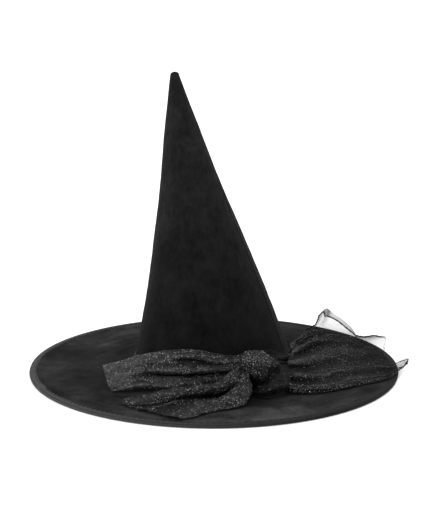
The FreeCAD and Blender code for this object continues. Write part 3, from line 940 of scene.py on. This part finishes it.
# %% Sheer right end
fan_lines = [
    [(81, -94, 8), (100, -101, 7), (123, -99, 7), (147, -85, 7), (170, -67, 7), (194, -51, 7),
     (207, -35, 7.5), (217, -11, 8), (225, 19, 5), (226, 21, 5.5)],
    [(83, -100, 16), (103, -98, 13), (129, -95, 12), (153, -72, 11), (172, -57, 10), (194, -46, 9),
     (208, -28, 9), (217, -6, 9), (226, 20, 6.5), (227, 22, 7)],
    [(84, -88, 18), (105, -80, 12), (130, -72, 10.5), (153, -53, 9), (173, -38, 7.5), (194, -26, 7),
     (209, -14, 7.5), (218, -2, 9), (226, 21, 8), (227, 23, 8.5)],
    [(85, -87, 25), (105, -71, 19), (125, -57, 16), (145, -35, 14), (162, -20, 12), (181, -8, 11),
     (200, -7, 10), (215, 3, 10), (226, 22, 10.5), (227, 24, 10.5)],
    [(85, -75, 24), (105, -48, 13), (125, -32, 10), (145, -15, 9), (162, -4, 8), (180, 4, 7.5),
     (195, 8, 7.5), (205, 12, 7.5), (210, 17, 7.5), (211, 18, 7.5)],
    [(86, -60, 24), (105, -22, 13), (124, -7, 10), (146, 8, 8.5), (162, 13, 7), (176, 22, 7), (186, 30, 7),
     (193, 37, 7.5), (198, 42, 7.5), (200, 44, 8)],
    [(86, -55, 31), (104, -11, 20), (122, 15, 16), (140, 37, 13), (157, 50, 11), (173, 56, 9), (186, 59, 8.5),
     (195, 62, 9), (200, 58, 14), (200, 56, 12)],
    [(87, -32, 26), (101, 41, 10), (118, 70, 7), (135, 85, 7), (151, 89, 7), (168, 85, 7), (182, 90, 9),
     (194, 78, 17), (200, 70, 22), (203, 66, 24)],
    [(87, -26, 31), (99, 38, 20), (113, 75, 15), (128, 97, 12), (142, 107, 9), (156, 107, 8), (170, 105, 10),
     (180, 96, 16), (187, 84, 20), (191, 80, 22)],
    [(88, -10, 26), (97, 66, 11), (109, 102, 7), (122, 122, 7), (135, 130, 7), (148, 126, 7), (159, 126, 8),
     (166, 118, 10), (170, 112, 11), (173, 110, 12)],
    [(89, -4, 29), (94, 60, 17), (105, 97, 12), (116, 124, 9), (128, 139, 8), (140, 143, 7.5), (150, 141, 9),
     (157, 138, 14), (163, 132, 18), (161, 127, 15)],
    [(89, 4, 26), (93, 70, 11), (103, 107, 8), (113, 135, 8), (123, 151, 7.5), (132, 158, 7.5),
     (138, 157, 10), (144, 153, 21), (147, 149, 26), (145, 143, 24)],
    [(90, 10, 28), (92, 71, 15), (101, 105, 11), (109, 136, 9), (117, 154, 8), (124, 164, 8), (129, 162, 15),
     (133, 158, 26), (135, 155, 34), (135, 149, 26)],
    [(91, 16, 26), (91, 75, 12), (98, 111, 8), (106, 141, 7.5), (112, 155, 7.5), (118, 166, 7.5),
     (121, 169, 9), (125, 167, 19), (130, 164, 27), (131, 157, 24)],
]
FAN_ROWS = 180
FAN_COLUMNS = 220
fan = surface_through([list(row) for row in zip(*fan_lines)], FAN_ROWS, FAN_COLUMNS)
along = np.linspace(0, 1, FAN_ROWS)[:, None]
back = np.linspace(0, 1, FAN_COLUMNS)[None, :]
gathered = 0.95 - 0.55 * back * np.clip(along * 2, 0, 1)
thinning = np.clip((along - 0.58) / 0.17, 0, 1)
puff = np.interp(back, (0.0, 0.23, 0.31, 0.46, 0.54, 0.6, 0.69, 0.77, 0.88, 0.91, 0.94, 0.965, 1.0),
                 (0.6, 0.5, 0.4, 0.16, 0.3, 0.7, 0.55, 0.32, 0.26, 0.6, 0.36, 0.5, 0.8)) * (0.8 + 0.4 * along)
fan_cover = gathered + (puff - gathered) * thinning
edge_cover = np.interp(along[:, 0], (0.0, 0.9, 1.0), (0.7, 0.7, 0.3))
cut_cover = np.interp(back[0], (0.0, 0.2, 0.27, 0.52, 0.58, 0.92, 0.96, 1.0),
                      (0.4, 0.3, 0.1, 0.1, 0.75, 0.75, 0.2, 0.3))
sheer_blend = ("hat", "sheer_tail", (0.088, -0.09, 0.0285), (0.116, -0.08, 0.0285))
sash_end("sash_end_sheer", fan, pleats=[(9.0, 0.8, 0.3, 0.15), (21.0, 0.4, 0.05, -0.4)], wrinkle=0.35,
         seed=23.0, cloth=sheer_organza, body="sheer_tail", blend=sheer_blend, flakes=2600,
         cad_node="sash_tail_sheer", flake_size=0.42, hem=0.9, crowding=1.5,
         cover=fan_cover, crumple=1.0, hem_covers=(edge_cover, edge_cover, cut_cover),
         fade=(1, 0.9, 0.8, 0.75, 0.5, 0.35, 0.25, 0.25, 0.3, 0.4))

# %% [markdown]
# ## Band round the crown's foot
# Between its ends the sash goes round the crown, drawn into a soft roll of lengthwise folds. It is a
# closed ring: a pleated outside, and a plain inside that faces the crown. It takes the darker organza
# with few specks, painted as cloth in shade, and its hollows are painted darker still, a painted shade.

# %% Band
BAND_COLUMNS = 360
BAND_OUTSIDE = 44
BAND_INSIDE = 6
band_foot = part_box("sash_band")[0][2] + 0.2 * MM


def band_top(angle):
    """The band is drawn up higher beside the knot."""
    from_knot = (angle + math.radians(43) + math.pi) % (2 * math.pi) - math.pi
    drawn = 15 * math.exp(-((from_knot / 0.33) ** 2))
    slope = 4.1 * math.cos(angle + math.radians(70))
    return (28.0 + slope + drawn + 1.2 * ripple(math.cos(angle), math.sin(angle), 2.0, 0.5)) * MM


points = []
for j in range(BAND_COLUMNS):
    angle = 2 * math.pi * j / BAND_COLUMNS
    x, y = math.cos(angle), math.sin(angle)
    top = band_top(angle)
    ring = []
    for k in range(BAND_OUTSIDE):
        t = k / (BAND_OUTSIDE - 1)
        z = band_foot + (top - band_foot) * t
        belly = math.sin(math.pi * min(1.0, 0.08 + 0.9 * t)) ** 0.5
        drift = 0.22 * math.sin(2 * angle + 1) + 0.12 * math.sin(5 * angle) + 0.5 * ripple(x, y, t, 0.6)
        folds = math.sin(2 * math.pi * (4.2 * t + drift)) + 0.35 * math.sin(2 * math.pi * (9 * t - 2 * drift))
        stand = (0.8 + 1.5 * belly + 0.75 * folds * belly) * MM + 0.2 * MM * ripple(x * 3, y * 3, t, 0.2)
        ring.append((max(0.7 * MM, stand), z))
    ring += [(0.5 * MM, top - 0.3 * MM - (top - band_foot) * t) for t in np.linspace(0.0, 1.0, BAND_INSIDE)]
    for stand, z in ring:
        r = crown_radius(z) + stand
        points.append((lean(z) + r * x, r * y, z))
ring_count = len(points) // BAND_COLUMNS
band_net = np.array(points).reshape(BAND_COLUMNS, ring_count, 3)
stands = np.hypot(band_net[..., 0], band_net[..., 1])
# How far the cloth stands out sets the fold mark: painted shade in the band's hollows and painted light on
# its rolls.
band_fold = np.clip(0.35 + (stands - stands.mean(axis=0)) / (2 * MM), 0.0, 1.0)
band = add_piece("sash_round_crown", points, grid_faces(BAND_COLUMNS, ring_count, True, True),
                 plain_and_shaded_organza, "hat", marks=packed_marks(band_fold))
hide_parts("sash_band")
print(f"  band: {mesh_area(band) / 2 * 1e4:.0f} square cm of cloth")
band_flakes = lay_flakes("sash_round_crown_flakes", band_net[:, :BAND_OUTSIDE], band_fold, count=350,
                         seed=5, body="hat")

# %% [markdown]
# ## Knot
# The knot is one fat fold of the sash that goes over the gathered ends from the upper left to the
# lower right, curls at its end, and lets a plain lobe of cloth fall out below it. A core of packed
# cloth fills the space between them. The fold is painted darker on its lower part, where it wraps
# under, and the core is painted near the valleys' dark tone: both are painted shade. The lobe takes the
# darker organza with few specks, partly the plain back of the cloth and partly painted shade.

# %% Knot
knot_pins = [
    [(38, -96, 53), (44, -94, 54), (51, -93, 54), (58, -92, 51), (65, -90, 46)],
    [(34, -103, 57), (41, -103, 60), (49, -102, 60), (57, -100, 58), (67, -97, 51)],
    [(30, -108, 53), (38, -113, 57), (49, -115, 57), (60, -111, 55), (75, -102, 47)],
    [(30, -110, 48), (38, -118, 51), (49, -121, 51), (60, -118, 49), (73, -109, 44)],
    [(33, -110, 42), (41, -118, 43), (50, -122, 43), (59, -119, 41), (67, -110, 39)],
    [(37, -109, 35), (44, -117, 35), (51, -120, 34), (59, -117, 33), (65, -109, 32)],
    [(42, -107, 28), (46, -112, 27), (52, -115, 26), (59, -113, 25), (64, -106, 25)],
    [(44, -101, 24), (49, -104, 21), (53, -106, 20), (59, -105, 20), (63, -100, 21)],
]
KNOT_ROWS = 110
KNOT_COLUMNS = 90
knot_points = pressed_pleats(surface_through(knot_pins, KNOT_ROWS, KNOT_COLUMNS),
                             [(1.7, 0.7, 0.6, 0.35), (5.5, 0.2, 0.2, -0.6)], wrinkle=0.3, seed=31.0)
knot_points = keep_clear(knot_points)
# The fold's lower part, where it wraps under, is painted darker with fewer specks: painted shade.
under_wrap = np.clip((np.linspace(0, 1, KNOT_ROWS)[:, None] - 0.58) / 0.25, 0, 1)
knot_shade = up_the_fold(knot_points, 0.2, 3.5) * np.clip(1.25 - 1.1 * under_wrap, 0.12, 1)
knot_fold = add_piece("knot_fold", knot_points.reshape(-1, 3), grid_faces(KNOT_ROWS, KNOT_COLUMNS),
                      folded_organza, "hat", marks=packed_marks(knot_shade, glow=0.3))
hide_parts("sash_knot")

lobe_pins = [
    [(55, -106, 30), (60, -108, 34), (67, -106, 39), (76, -100, 41), (86, -88, 39)],
    [(53, -109, 22), (60, -112, 24), (69, -112, 32), (78, -106, 33), (88, -92, 29)],
    [(49, -112, 17), (58, -116, 19), (69, -118, 23), (79, -111, 24), (88, -97, 21)],
    [(45, -114, 13), (57, -119, 14), (68, -121, 17), (79, -114, 18), (88, -101, 15)],
    [(44, -110, 7), (57, -118, 7), (69, -114, 8), (79, -101, 9), (87, -90, 9)],
]
LOBE_SAMPLES = 70
lobe_points = pressed_pleats(surface_through(lobe_pins, LOBE_SAMPLES, LOBE_SAMPLES),
                             [(1.3, 0.7, 0.7, 0.4)], wrinkle=0.25, seed=41.0)
lobe_points = keep_clear(lobe_points)
lobe_fold = up_the_fold(lobe_points, 0.15, 2.0)
knot_lobe = add_piece("knot_lobe", lobe_points.reshape(-1, 3), grid_faces(LOBE_SAMPLES, LOBE_SAMPLES),
                      plain_and_shaded_organza, "hat", marks=packed_marks(lobe_fold))

CORE_CENTRE = np.array((0.058, -0.100, 0.032))
CORE_HALF = np.array((0.021, 0.012, 0.021))
CORE_ROWS = 40
CORE_COLUMNS = 48
points = []
for i in range(1, CORE_ROWS):
    tilt = math.pi * i / CORE_ROWS
    for j in range(CORE_COLUMNS):
        a = 2 * math.pi * j / CORE_COLUMNS
        d = np.array((math.sin(tilt) * math.cos(a), math.sin(tilt) * math.sin(a), math.cos(tilt)))
        points.append(CORE_CENTRE + CORE_HALF * d * (1 + 0.08 * math.sin(7 * a + 4 * tilt)))
faces = grid_faces(CORE_ROWS - 1, CORE_COLUMNS, closed_columns=True)
points += [CORE_CENTRE + CORE_HALF * (0, 0, 1), CORE_CENTRE - CORE_HALF * (0, 0, 1)]
faces += cap_faces(0, CORE_COLUMNS, len(points) - 2, flip=True)
faces += cap_faces((CORE_ROWS - 2) * CORE_COLUMNS, CORE_COLUMNS, len(points) - 1)
# The core is painted near the valleys' dark tone: painted shade between the folds.
knot_core = add_piece("knot_core", points, faces, plain_and_shaded_organza, "hat",
                      marks=packed_marks(np.full(len(points), 0.1)))
knot_extras = [
    knot_lobe, knot_core,
    lay_flakes("knot_fold_flakes", knot_points, knot_shade, count=900, seed=51, body="hat"),
    lay_flakes("knot_lobe_flakes", lobe_points, lobe_fold, count=60, seed=52, body="hat"),
    rolled_hem("knot_fold_edge", knot_points[:, -1], 0.6, "hat"),
    rolled_hem("knot_lobe_hem", lobe_points[-1], 0.6, "hat"),
]

# %% [markdown]
# ## Care label
# A strip of white satin, folded in two and caught in the sweatband's edge, so it is a loop that is
# open at its two sides. It carries no print. Sewn only at the top, it curls towards its free end.

# %% Care label
LABEL_WIDTH = 22 * MM
LABEL_LAYER = 0.22 * MM
label_low, label_high = (np.array(corner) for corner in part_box("care_label"))
label_middle = (label_low + label_high) / 2 * (1, 1, 0)
label_reach = np.linalg.norm(label_middle)
label_out = label_middle / label_reach
label_side = np.array([-label_out[1], label_out[0], 0])
drop = label_high[2] - label_low[2]
loop = [(LABEL_LAYER, t) for t in np.linspace(0, 1, 16)]
loop += [(LABEL_LAYER * math.cos(a), 1 + 0.012 * math.sin(a)) for a in np.linspace(0.4, math.pi - 0.4, 5)]
loop += [(-LABEL_LAYER, t) for t in np.linspace(1, 0, 16)]
across_label = np.linspace(-0.5, 0.5, 14)
points = []
for stand, t in loop:
    for w in across_label:
        curl = (-0.9 * t**2 + 0.35 * t * math.sin(7 * w + 3 * t)) * MM
        narrowing = 1 - 0.02 * t
        points.append((label_reach + stand + curl) * label_out + w * LABEL_WIDTH * narrowing * label_side
                      + np.array([0, 0, label_high[2] - t * (drop - 0.3 * MM)]))
faces = grid_faces(len(loop), len(across_label), closed_rows=True)
label_cloth = add_piece("care_label_cloth", points, faces, label_white, "label")
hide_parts("care_label")
